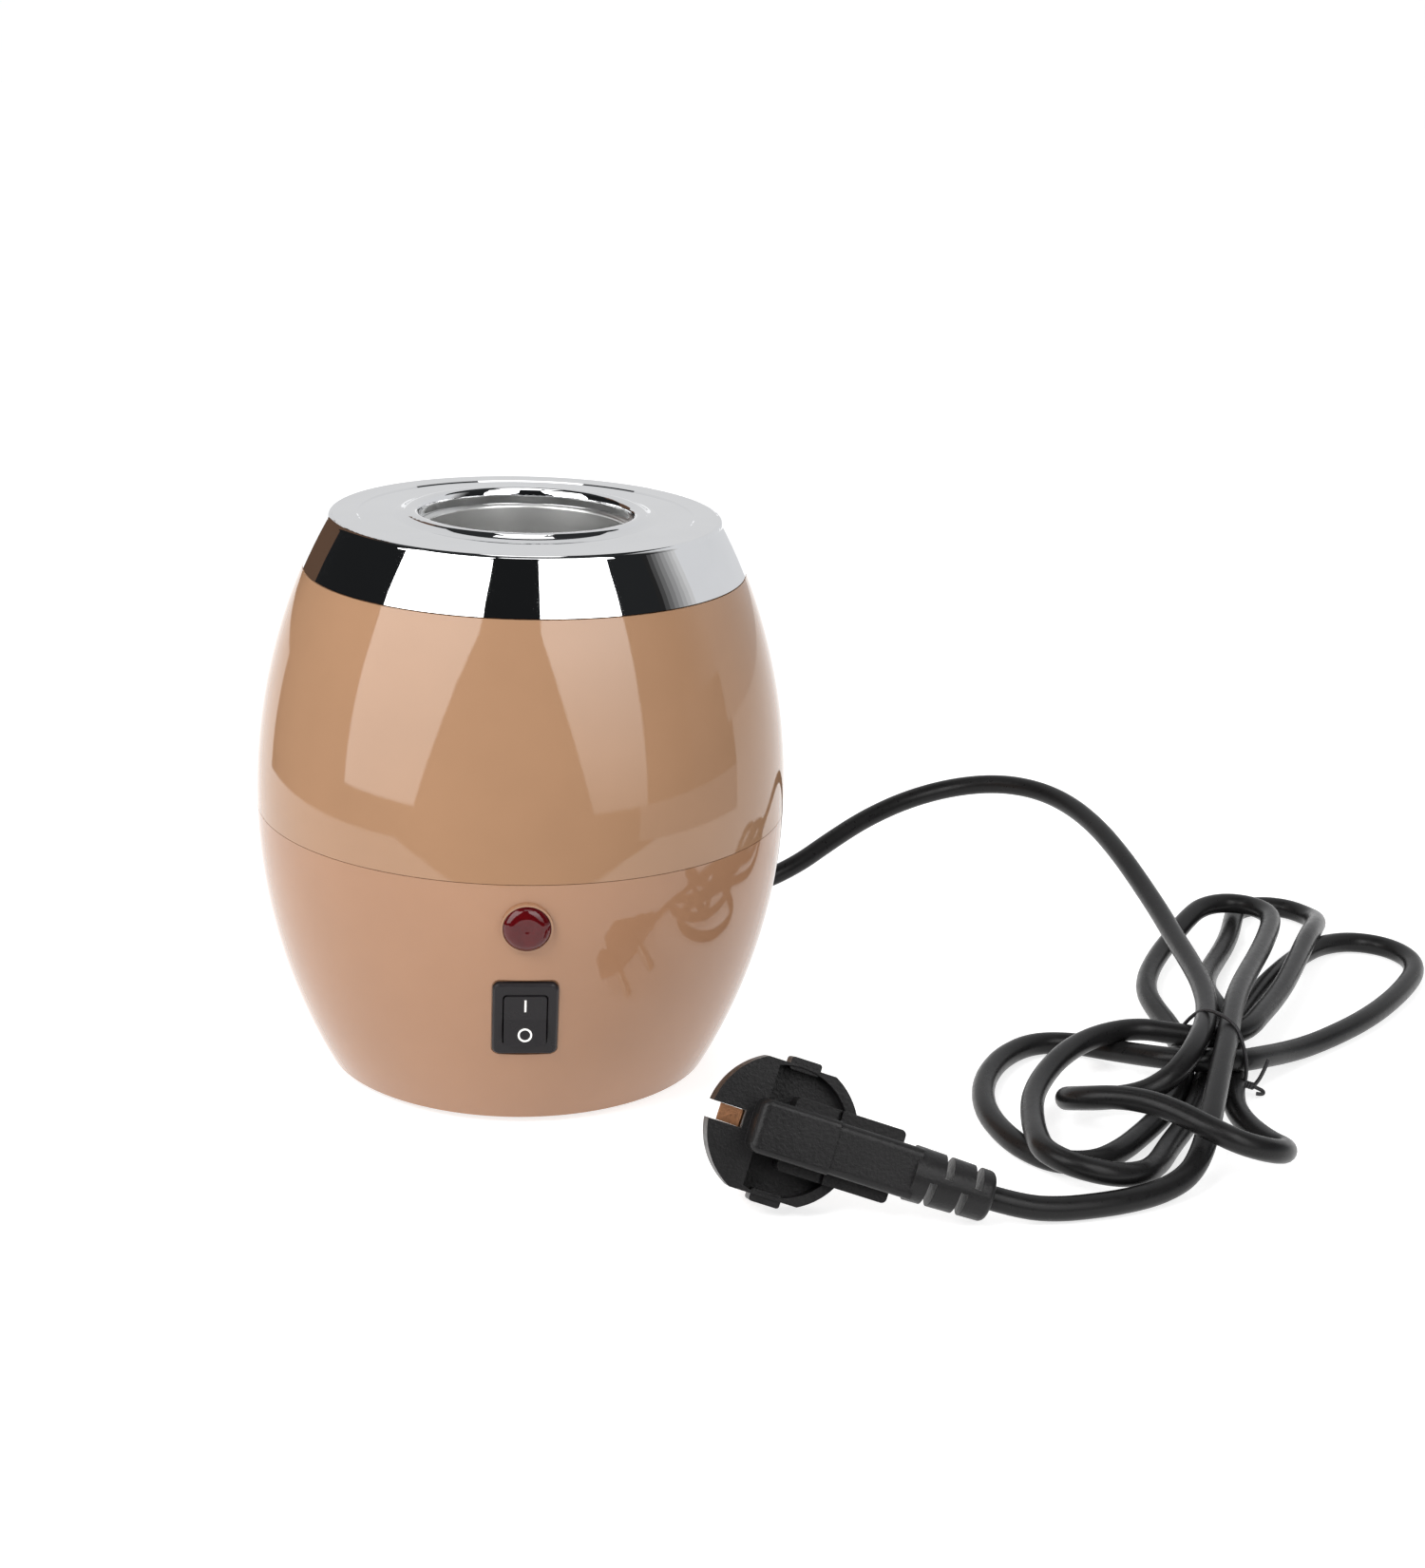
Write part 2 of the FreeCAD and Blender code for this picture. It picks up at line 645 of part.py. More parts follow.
def make_marks():
    bar = block((-0.26, -1.9, -0.1), (0.26, 1.9, 0.06))
    circle = ring(1.87, 1.38, -0.1, 0.06)
    return placed(bar, facet_place(1)), placed(circle, facet_place(-1))


def make_rocker():
    bar, circle = make_marks()
    blank = rocker_blank().cut(bar).cut(circle)
    plunger = cylinder(1.2, 4.2, (0, 0, bezel_face() + ROCKER_PIVOT - 7.0))
    rocker = rocker_turn(fused([blank, plunger]), -ROCKER_TILT)
    return placed(rocker, front_place(SWITCH_Z))


def make_rocker_marks():
    return group([
        placed(rocker_turn(mark, -ROCKER_TILT), front_place(SWITCH_Z)) for mark in make_marks()
    ])


def make_switch_terminals():
    low = -POCKET_DEPTH - HOUSING_DEPTH
    blades = [block((-2.4, y - 0.4, low - 7.0), (2.4, y + 0.4, low - 0.02)) for y in (-6.0, 0, 6.0)]
    holed = [blade.cut(cylinder(0.8, 4.0, (0, blade.BoundBox.Center.y - 2, low - 4.0), Y))
             for blade in blades]
    return placed(group(holed), front_place(SWITCH_Z))


# ---- wiring and cord entry ----------------------------------------------------
def make_terminal_block():
    body = rounded_block((-32.0, -7.0, PLATE_TOP + 0.02), (-20.0, 22.0, PLATE_TOP + 11.0), 1.0)
    wells = [cylinder(2.2, 6.0, (-26.0, y, PLATE_TOP + 6.0)) for y in (-2.0, 6.0, 14.0)]
    wells += [cylinder(1.7, 20.0, (-36.0, y, PLATE_TOP + 3.6), X) for y in (-2.0, 6.0, 14.0)]
    wells.append(cylinder(1.4, 20.0, (-26.0, 19.2, PLATE_TOP - 1)))
    return cut_all(body, wells)


def make_terminal_screws():
    return group([cylinder(1.9, 3.0, (-26.0, y, PLATE_TOP + 6.6)) for y in (-2.0, 6.0, 14.0)])


def make_cord_clamp():
    """A saddle on the base plate and a strap that grips the lead's inner end."""
    low = PLATE_TOP + 0.02
    saddle = block((-10.0, 28.0, low), (10.0, 36.0, GLAND_Z - 0.3))
    strap = rounded_block((-10.0, 28.0, GLAND_Z + 0.3), (10.0, 36.0, GLAND_Z + 5.2), 1.0, "y")
    bore = cylinder(CORD_D / 2 - 0.02, 12.0, (0, 26.0, GLAND_Z), Y)
    holes = [cylinder(1.4, 24.0, (s * 7.0, 32.0, low + 2.0)) for s in (-1, 1)]
    return group([cut_all(saddle, [bore] + holes), cut_all(strap, [bore] + holes)])


def make_clamp_bolts():
    top = GLAND_Z + 5.2
    return group([screw(1.35, 14.0, 2.4, 1.6, (s * 7.0, 32.0, top), (0, 0, -1)) for s in (-1, 1)])


def make_inner_cord():
    return cylinder(CORD_D / 2 - 0.05, 30.0, (0, 25.0, GLAND_Z), Y)


def make_gland():
    """Inner collar, neck through the wall, outer collar and a tapered, grooved tail."""
    axis = [
        (6.2, 55.2), (6.2, 62.6), (7.6, 62.6), (7.6, 65.4), (5.4, 66.2), (4.3, GLAND_TIP_Y),
        (0.0, GLAND_TIP_Y), (0.0, 55.2),
    ]
    corners = [Vector(r, y, 0) for r, y in axis]
    tail = Part.Face(Part.makePolygon(corners + corners[:1])).revolve(Vector(0, 0, 0), Y, 360)
    grooves = []
    for i in range(5):
        y = 68.5 + 3.6 * i
        cutter = cylinder(8.0, 1.2, (0, y, 0), Y).cut(cylinder(3.7, 3.2, (0, y - 1, 0), Y))
        keep = block((-1.1, y - 1, -9.0), (1.1, y + 3, 9.0))
        if i % 2:
            keep = block((-9.0, y - 1, -1.1), (9.0, y + 3, 1.1))
        grooves.append(cutter.cut(keep))
    gland = cut_all(tail, grooves)
    gland.translate(Vector(0, 0, GLAND_Z))
    return gland


WIRE_ROUTES = {
    "wire_live": [(-1.6, 23.4, 13.8), (-6, 14, 14), (-14, 4, 20), (-17, -14, 30), (-9, -31, 39),
                  (-0.5, -44.0, 42.3)],
    "wire_neutral": [(-1.6, 23.4, 16.8), (-6.0, 21.0, 17.5), (-12.5, 17.5, 12.0),
                     (-19.6, 14.0, 7.3)],
    "wire_earth": [(2.0, 23.0, 15.0), (5.0, 21.0, 20.5), (5.5, 18.5, 28.0), (3.4, 17.0, 37.0)],
    "wire_switched": [(1.0, -42.6, 35.8), (8.0, -36.0, 29.0), (12, -22, 22), (10, -10, 19.5),
                      (5.0, -1.5, 23.4)],
    "wire_heater": [(-4.5, 1.0, 23.4), (-2.0, 7.0, 18.0), (10.0, 14.0, 18.0), (22.0, 24.0, 26.0),
                    (22.0, 38.0, 40.0), (10.0, 42.0, 56.0), (3.0, 40.0, 74.0)],
    "wire_return": [(-19.6, 6.0, 7.3), (-11.0, 9.0, 8.5), (-13.0, 26.0, 24.0),
                    (-16.0, 40.0, 42.0), (-8.0, 42.5, 60.0), (-3.0, 40.0, 78.0)],
    "wire_lamp": [(0.0, -51.4, 64.8), (1.0, -46.5, 62.0), (3.5, -44.0, 56.0), (0.5, -46.0, 49.4)],
}


def make_earth_tag():
    z = WELL_FLOOR - 1.5 - 4.05
    plate = cylinder(3.2, 0.8, (0, 17.0, z - 0.8)).cut(cylinder(1.6, 2.0, (0, 17.0, z - 1.5)))
    tail = block((2.4, 16.0, z - 0.8), (4.4, 18.0, z))
    return fused([plate, tail])


def make_earth_screw():
    z = WELL_FLOOR - 1.5 - 4.05 - 0.85
    return screw(1.25, 4.0, 2.5, 1.4, (0, 17.0, z), (0, 0, 1))


# ---- hank and tie -------------------------------------------------------------
def make_hank():
    points = [Vector(x, y, HANK_Z[0]) for x, y in HANK_OUTLINE]
    outline = Part.BSplineCurve()
    outline.interpolate(points, PeriodicFlag=True)
    face = Part.Face(Part.Wire(outline.toShape()))
    return face.extrude(Vector(0, 0, HANK_Z[1] - HANK_Z[0]))


def make_tie():
    """A flattened loop of tie wire round the hank's waist, with its twisted tail."""
    half = TIE_WIDTH / 2
    low = HANK_Z[0] - 0.1 - TIE_WIRE
    high = HANK_Z[1] + 0.1 + TIE_WIRE
    outer = rounded_block((-1.0, -half, low), (1.0, half, high), 5.0, "x")
    inner = rounded_block(
        (-3.0, -half + TIE_WIRE, low + TIE_WIRE), (3.0, half - TIE_WIRE, high - TIE_WIRE),
        5.0 - TIE_WIRE, "x",
    )
    tail = cylinder(1.1, 9.0, (0, -half - 8.6, 9.0), Y)
    tie = fused([outer.cut(inner), tail])
    place = Placement(Vector(TIE_CENTRE[0], TIE_CENTRE[1], 0), Rotation(Z, TIE_HEADING))
    return placed(tie, place)


# ---- plug ---------------------------------------------------------------------
def plug_place():
    turn = Rotation(Z, PLUG_HEADING).multiply(Rotation(Y, PLUG_PITCH))
    turn = turn.multiply(Rotation(X, 90 - PLUG_ROLL))
    return Placement(Vector(PLUG_CENTRE[0], PLUG_CENTRE[1], PLUG_LIFT), turn)


def make_plug_body():
    """Dished disc with two lugs and earth notches, a stepped grip and a slotted relief."""
    disc = cylinder(PLUG_R, PLUG_T, (0, 0, -PLUG_T))
    flats = [
        block((-9.5, s * (FLAT_Y + 4) - 4, -12.0), (9.5, s * (FLAT_Y + 4) + 4, 2.0)) for s in (-1, 1)
    ]
    dish = cylinder(DISH_R, DISH_DEPTH + 1, (0, 0, -DISH_DEPTH))
    dish = dish.cut(block((-20.0, -20.0, -DISH_DEPTH - 1), (DISH_START_X, 20.0, 2.0)))
    disc = cut_all(disc, flats + [dish])
    lugs = []
    for side in (-1, 1):
        y_low, y_high = sorted((side * 15.5, side * LUG_Y))
        lugs.append(rounded_block((LUG_X[0], y_low, -8.0), (LUG_X[1], y_high, -0.6), 0.8))
    first = rounded_block((-8.6, -6.9, -DISH_DEPTH - 0.5), (12.0, 6.9, 10.2), 1.6, "x")
    nose = [e for e in first.Edges if e.BoundBox.XMax < -8.5 and e.BoundBox.ZMin > 4]
    first = first.makeFillet(2.6, nose)
    second = rounded_block((11.9, -6.6, -3.0), (GRIP_END, 6.6, 9.8), 2.0, "x")
    wings = rounded_block((0.5, -9.5, -DISH_DEPTH - 0.5), (29.5, 9.5, 3.6), 1.4, "z")
    wing_gap = block((11.6, -12.0, 1.6), (12.6, 12.0, 12.0))
    underside = block((PLUG_R - 1.0, -12.0, -9.0), (40.0, 12.0, -3.0))
    wings = wings.cut(wing_gap).cut(underside)
    relief = Part.makeCone(
        7.1, 6.5, RELIEF_END - GRIP_END + 1.0, Vector(GRIP_END - 1.0, 0, PLUG_AXIS_Z), X
    )
    relief = relief.makeFillet(1.6, [e for e in relief.Edges if e.BoundBox.XMin > RELIEF_END - 0.1])
    body = fused([disc, first, second, wings, relief] + lugs)
    slots = []
    for side, starts in ((1, UPPER_SLOTS), (-1, LOWER_SLOTS)):
        for start in starts:
            y_low, y_high = sorted((side * 1.0, side * 9.0))
            slots.append(block((start, y_low, -6.0), (start + SLOT_W, y_high, 14.0)))
    half = NOTCH_W / 2
    notch = block((-22.0, -half, -12.0), (NOTCH_DEPTH_X, half, 2.0))
    hidden_notch = block((12.6, -half, -12.0), (22.0, half, -DISH_DEPTH - 0.9))
    socket = cylinder(2.6, 3.0, (9.0, 0, -PLUG_T - 0.1))
    pins = [cylinder(PIN_R + 0.01, 3.0, (0, s * PIN_HALF, -PLUG_T - 0.1)) for s in (-1, 1)]
    return cut_all(body, slots + [notch, hidden_notch, socket] + pins)


def make_plug_pins():
    pins = []
    for side in (-1, 1):
        pin = cylinder(PIN_R, PIN_L + 2.8, (0, side * PIN_HALF, -PLUG_T - PIN_L))
        tip = [e for e in pin.Edges if e.BoundBox.ZMax < -PLUG_T - PIN_L + 0.01]
        pins.append(pin.makeFillet(1.6, tip))
    return group(pins)


def make_earth_contacts():
    """The open notch's slanted spring strip, and the short one under the grip."""
    strip = block((-0.4, -2.2, -4.3), (0.4, 2.2, 4.3))
    strip.rotate(Vector(0, 0, 0), Y, 35)
    strip.translate(Vector(NOTCH_DEPTH_X - 2.95, 0, -4.7))
    back = block((13.0, -2.2, -8.8), (13.8, 2.2, -6.0))
    return group([strip, back])


def on_plug(shape):
    return placed(shape, plug_place())


def make_all():
    NODES["lower_shell"] = make_lower_shell()
    NODES["upper_shell"] = make_upper_shell()
    NODES["base_plate"] = make_base_plate()
    NODES["rubber_feet"] = make_feet()
    NODES["base_screws"] = make_base_screws()
    NODES["shell_screws"] = make_shell_screws()
    NODES["top_ring"] = make_top_ring()
    NODES["ring_screws"] = make_ring_screws()
    NODES["warming_well"] = make_well()
    NODES["well_seal"] = make_well_seal()
    NODES["heater_band"] = make_heater_band()
    NODES["heater_clamps"] = make_heater_clamps()
    NODES["clamp_screws"] = make_clamp_screws()
    NODES["insulation_sleeve"] = make_insulation()
    NODES["thermostat"] = make_thermostat()
    NODES["thermostat_screws"] = make_thermostat_screws()
    NODES["thermal_fuse"] = make_thermal_fuse()
    NODES["lamp_lens"] = make_lamp_lens()
    NODES["lamp_body"] = make_lamp_body()
    NODES["lamp_clip"] = make_lamp_clip()
    NODES["neon_bulb"] = make_neon_bulb()
    NODES["switch_housing"] = make_switch_housing()
    NODES["switch_rocker"] = make_rocker()
    NODES["rocker_marks"] = make_rocker_marks()
    NODES["switch_terminals"] = make_switch_terminals()
    NODES["terminal_block"] = make_terminal_block()
    NODES["terminal_screws"] = make_terminal_screws()
    NODES["cord_clamp"] = make_cord_clamp()
    NODES["cord_clamp_screws"] = make_clamp_bolts()
    NODES["inner_cord"] = make_inner_cord()
    NODES["cable_gland"] = make_gland()
    NODES["earth_tag"] = make_earth_tag()
    NODES["earth_screw"] = make_earth_screw()
    for name, route in WIRE_ROUTES.items():
        NODES[name] = tube(route, 0.9, name)
    NODES["cord_lead"] = tube(LEAD_ROUTE, CORD_D / 2, "cord_lead")
    NODES["cord_tail"] = tube(TAIL_ROUTE, CORD_D / 2, "cord_tail")
    NODES["cord_hank"] = make_hank()
    NODES["cord_tie"] = make_tie()
    NODES["plug_body"] = on_plug(make_plug_body())
    NODES["plug_pins"] = on_plug(make_plug_pins())
    NODES["plug_earth_contacts"] = on_plug(make_earth_contacts())


os.makedirs("parts", exist_ok=True)
make_all()
for node, shape in NODES.items():
    shape.exportStep(f"parts/{node}.step")
    box = shape.BoundBox
    print(f"{node}: {len(shape.Solids)} solids, valid {shape.isValid()}, "
          f"volume {shape.Volume:.0f}, z {box.ZMin:.2f} to {box.ZMax:.2f}")
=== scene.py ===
import math

import bpy
from mathutils import Matrix, Vector


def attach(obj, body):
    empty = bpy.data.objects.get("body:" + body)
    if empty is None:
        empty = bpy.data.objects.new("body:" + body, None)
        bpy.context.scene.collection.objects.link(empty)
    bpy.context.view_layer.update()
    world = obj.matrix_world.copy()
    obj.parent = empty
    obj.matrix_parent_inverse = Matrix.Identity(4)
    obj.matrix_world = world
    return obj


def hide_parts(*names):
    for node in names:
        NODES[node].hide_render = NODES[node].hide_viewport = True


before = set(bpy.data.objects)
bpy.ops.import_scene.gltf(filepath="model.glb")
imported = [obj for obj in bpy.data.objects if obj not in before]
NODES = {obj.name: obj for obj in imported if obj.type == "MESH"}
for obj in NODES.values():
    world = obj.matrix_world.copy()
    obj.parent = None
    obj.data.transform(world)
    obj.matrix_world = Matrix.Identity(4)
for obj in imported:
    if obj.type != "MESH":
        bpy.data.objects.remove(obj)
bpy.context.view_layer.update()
SCENE = bpy.context.scene

# ---- cord: the lead from the gland, the hank's loops in winding order, the run to the plug ----
LEAD = [
    (0, 0.088, 0.015), (0, 0.103, 0.015), (0.005, 0.118, 0.0132), (0.0165, 0.1285, 0.0102),
    (0.032, 0.1315, 0.007), (0.049, 0.1285, 0.0046), (0.066, 0.1235, 0.0035),
    (0.082, 0.1215, 0.0045), (0.096, 0.1265, 0.0095), (0.1085, 0.1345, 0.0155),
    (0.1215, 0.1425, 0.021), (0.1365, 0.1485, 0.026), (0.1525, 0.1505, 0.03),
    (0.1675, 0.1475, 0.0326), (0.1795, 0.139, 0.0333), (0.188, 0.126, 0.0325),
    (0.1938, 0.109, 0.0304), (0.1978, 0.09, 0.027), (0.2008, 0.071, 0.0228),
    (0.2025, 0.053, 0.0198), (0.2028, 0.036, 0.018), (0.2028, 0.02, 0.0172),
]
LOOP_G = [
    (0.2018, 0.003, 0.017), (0.1994, -0.012, 0.0166), (0.1952, -0.0255, 0.0164),
    (0.19, -0.037, 0.0164), (0.1845, -0.0465, 0.015), (0.1782, -0.0525, 0.0116),
    (0.1705, -0.054, 0.0076), (0.1615, -0.05, 0.0042), (0.1515, -0.0529, 0.0056),
    (0.1463, -0.061, 0.0095), (0.1485, -0.0703, 0.0139), (0.157, -0.0758, 0.0168),
    (0.165, -0.081, 0.0176), (0.1715, -0.0875, 0.0172), (0.177, -0.094, 0.0162),
    (0.1845, -0.0993, 0.0142), (0.1945, -0.0973, 0.0108), (0.2007, -0.0887, 0.007),
    (0.1995, -0.0775, 0.004), (0.197, -0.066, 0.0032), (0.1965, -0.055, 0.0032),
    (0.199, -0.0445, 0.0032), (0.2025, -0.0345, 0.0033), (0.2056, -0.0235, 0.004),
]
LOOP_C = [
    (0.2074, -0.012, 0.007), (0.207, 0, 0.0098), (0.2073, 0.013, 0.0092), (0.2103, 0.026, 0.007),
    (0.215, 0.0395, 0.005), (0.221, 0.0525, 0.0036), (0.2275, 0.065, 0.0032),
    (0.2335, 0.078, 0.0032), (0.238, 0.09, 0.0032), (0.242, 0.1005, 0.0032),
    (0.2508, 0.1055, 0.0032), (0.2605, 0.103, 0.0032), (0.266, 0.0945, 0.0032),
    (0.2648, 0.0845, 0.0054), (0.2595, 0.072, 0.0082), (0.253, 0.059, 0.0099),
    (0.2465, 0.046, 0.0098), (0.24, 0.033, 0.0098), (0.2325, 0.0185, 0.0098),
    (0.2245, 0.005, 0.0099), (0.2175, -0.006, 0.0104),
]
LOOP_F = [
    (0.2115, -0.0155, 0.0106), (0.2035, -0.0215, 0.0106), (0.195, -0.022, 0.0104),
    (0.1875, -0.019, 0.0104), (0.179, -0.016, 0.0106), (0.17, -0.018, 0.0104),
    (0.1605, -0.0235, 0.01), (0.1515, -0.0335, 0.0096), (0.144, -0.045, 0.0086),
    (0.1385, -0.0575, 0.0082), (0.1355, -0.0715, 0.0086), (0.1338, -0.085, 0.0096),
    (0.1338, -0.094, 0.0099), (0.14, -0.1019, 0.0096), (0.1497, -0.104, 0.008),
    (0.1585, -0.0993, 0.0058), (0.1652, -0.0905, 0.004), (0.172, -0.0775, 0.0032),
    (0.1795, -0.0655, 0.0032), (0.186, -0.053, 0.0032), (0.1916, -0.04, 0.0033),
]
LOOP_D = [
    (0.197, -0.027, 0.0033), (0.203, -0.0145, 0.0032), (0.2098, -0.002, 0.0032),
    (0.2175, 0.011, 0.0032), (0.2255, 0.0245, 0.0032), (0.234, 0.0375, 0.0032),
    (0.243, 0.0495, 0.0032), (0.252, 0.0603, 0.0032), (0.2613, 0.069, 0.0032),
    (0.2724, 0.0725, 0.0032), (0.2828, 0.0678, 0.0032), (0.2873, 0.0572, 0.0032),
    (0.2845, 0.0455, 0.0032), (0.2765, 0.033, 0.0032), (0.2665, 0.02, 0.0032),
    (0.255, 0.0075, 0.0032), (0.2425, -0.0035, 0.0032), (0.231, -0.0125, 0.0034),
    (0.221, -0.0205, 0.0048), (0.212, -0.0287, 0.0072), (0.2035, -0.0358, 0.0092),
]
LOOP_E = [
    (0.1925, -0.038, 0.0099), (0.1825, -0.034, 0.0092), (0.1755, -0.0245, 0.0064),
    (0.169, -0.0155, 0.004), (0.1605, -0.0092, 0.0032), (0.149, -0.0095, 0.0032),
    (0.139, -0.0182, 0.0032), (0.1318, -0.0305, 0.0032), (0.1278, -0.043, 0.0032),
    (0.1265, -0.056, 0.0032), (0.1283, -0.0685, 0.0032), (0.1322, -0.079, 0.0032),
    (0.139, -0.0867, 0.0032), (0.149, -0.0875, 0.0032), (0.1583, -0.0802, 0.0032),
    (0.167, -0.0695, 0.0032), (0.175, -0.0585, 0.0032), (0.1823, -0.0465, 0.0032),
    (0.1876, -0.034, 0.0033),
]
LOOP_B = [
    (0.191, -0.0215, 0.0033), (0.193, -0.009, 0.0032), (0.1934, 0.004, 0.0032),
    (0.1925, 0.0165, 0.0032), (0.193, 0.0295, 0.0032), (0.197, 0.043, 0.0032),
    (0.2035, 0.0565, 0.004), (0.2115, 0.0685, 0.006), (0.219, 0.079, 0.0084),
    (0.226, 0.087, 0.0097), (0.235, 0.0898, 0.0102), (0.243, 0.0858, 0.0104),
    (0.246, 0.077, 0.0108), (0.243, 0.0665, 0.0113), (0.238, 0.0545, 0.012),
    (0.231, 0.039, 0.013), (0.2232, 0.023, 0.0142), (0.2155, 0.007, 0.0154),
    (0.209, -0.008, 0.0162),
]
TAIL = [
    (0.2033, -0.0225, 0.0164), (0.198, -0.0375, 0.0162), (0.192, -0.0525, 0.015),
    (0.1865, -0.067, 0.0132), (0.1815, -0.08, 0.011), (0.177, -0.0905, 0.008),
    (0.1715, -0.0985, 0.005), (0.1635, -0.104, 0.0034), (0.154, -0.1085, 0.0032),
    (0.144, -0.1115, 0.0032), (0.1335, -0.1135, 0.0033), (0.1242, -0.1141, 0.0044),
    (0.1157, -0.1133, 0.0068),
]

CORD_D = 0.0064

# The tie goes once round the bundle: distance across it and height.
TIE_LOOP = [
    (-0.0115, 0.0007), (0, 0.0006), (0.0125, 0.0007), (0.0158, 0.0035), (0.0156, 0.01),
    (0.0132, 0.0155), (0.0095, 0.0203), (0, 0.0208), (-0.0046, 0.0186), (-0.0098, 0.0125),
    (-0.0135, 0.0045),
]
TIE_CENTRE = (0.196, -0.026)
TIE_ACROSS = (0.5, -0.866)
# Its two wires twist along a short line and end in two loose tails.
TIE_TWIST = [(0.2035, -0.0388, 0.0036), (0.2046, -0.0394, 0.0034), (0.2062, -0.0398, 0.0031)]
TIE_TAILS = [
    [
        (0.2062, -0.0398, 0.0031), (0.2075, -0.0396, 0.0045), (0.209, -0.0388, 0.007),
        (0.2105, -0.038, 0.0105),
    ],
    [
        (0.2062, -0.0398, 0.0031), (0.2078, -0.0392, 0.0022), (0.2094, -0.04, 0.0016),
        (0.2088, -0.041, 0.001), (0.207, -0.0406, 0.0012),
    ],
]
TIE_WIRE = 0.0011
TIE_TWIST_RADIUS = 0.0006
TIE_TURNS = 2
STEPS_PER_TURN = 8

SPLINE_ORDER = 3
SPLINE_STEPS = 8
SECTION_STEPS = 8

# ---- camera -------------------------------------------------------------------
CAMERA_AT = (-0.01537, -0.6772, 0.29619)
CAMERA_YAW, CAMERA_PITCH, CAMERA_ROLL = -5.81, 17.71, 2.19
LENS = 58.09
SENSOR_WIDTH = 36
CLIP_START = 0.02


def make_camera():
    camera = bpy.data.objects.new("camera", bpy.data.cameras.new("camera"))
    camera.data.lens = LENS
    camera.data.sensor_width = SENSOR_WIDTH
    camera.data.clip_start = CLIP_START
    camera.matrix_world = (
        Matrix.Translation(CAMERA_AT)
        @ Matrix.Rotation(math.radians(CAMERA_YAW), 4, "Z")
        @ Matrix.Rotation(math.radians(90 - CAMERA_PITCH), 4, "X")
        @ Matrix.Rotation(math.radians(CAMERA_ROLL), 4, "Z")
    )
    SCENE.collection.objects.link(camera)
    SCENE.camera = camera


def add_spline(curve, points, radius, cyclic=False):
    """A smooth line led by the given points. The radius is on them, because the curve's box
    counts it."""
    spline = curve.splines.new("NURBS")
    spline.points.add(len(points) - 1)
    for place, point in zip(spline.points, points):
        place.co = (*point, 1)
        place.radius = radius
    spline.order_u = SPLINE_ORDER
    spline.use_endpoint_u = not cyclic
    spline.use_cyclic_u = cyclic
    spline.resolution_u = SPLINE_STEPS


def wire_object(name, splines, diameter, cyclic_first=False):
    """One round cord or wire per list of points, all in one piece."""
    curve = bpy.data.curves.new(name, "CURVE")
    curve.dimensions = "3D"
    curve.bevel_depth = 1.0  # times the radius on each point
    curve.bevel_resolution = SECTION_STEPS
    curve.use_fill_caps = True
    curve.twist_mode = "MINIMUM"
    for number, points in enumerate(splines):
        add_spline(curve, points, diameter / 2, cyclic_first and number == 0)
    piece = bpy.data.objects.new(name, curve)
    SCENE.collection.objects.link(piece)
    return piece


def twisted_pair():
    """Two wires wound round the line of TIE_TWIST."""
    start, end = Vector(TIE_TWIST[0]), Vector(TIE_TWIST[-1])
    along = (end - start).normalized()
    side = along.cross(Vector((0, 0, 1))).normalized()
    up = side.cross(along)
    steps = TIE_TURNS * STEPS_PER_TURN
    strands = []
    for first in (0, math.pi):
        points = []
        for step in range(steps + 1):
            turn = first + 2 * math.pi * step / STEPS_PER_TURN
            outward = math.cos(turn) * side + math.sin(turn) * up
            points.append(start.lerp(end, step / steps) + TIE_TWIST_RADIUS * outward)
        strands.append(points)
    return strands


def tie_loop():
    """TIE_LOOP in the scene, in the upright plane across the bundle."""
    centre_x, centre_y = TIE_CENTRE
    across_x, across_y = TIE_ACROSS
    return [(centre_x + across_x * w, centre_y + across_y * w, z) for w, z in TIE_LOOP]


def make_cord():
    route = LEAD + LOOP_G + LOOP_C + LOOP_F + LOOP_D + LOOP_E + LOOP_B + TAIL
    cord = wire_object("mains_cord", [route], CORD_D)
    wires = [tie_loop()] + TIE_TAILS + twisted_pair()
    tie = wire_object("twist_tie", wires, TIE_WIRE, cyclic_first=True)
    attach(cord, "pot")
    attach(tie, "pot")
    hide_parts("cord_lead", "cord_tail", "cord_hank")
    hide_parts("cord_tie")
    return cord, tie


make_camera()
CORD, TIE = make_cord()


# ---- materials ----------------------------------------------------------------
def srgb(red, green, blue):
    """A colour given as 0 to 255 on a screen, as linear light."""

    def linear(value):
        value /= 255
        return value / 12.92 if value <= 0.04045 else ((value + 0.055) / 1.055) ** 2.4

    return (linear(red), linear(green), linear(blue))


BEVEL_SAMPLES = 6


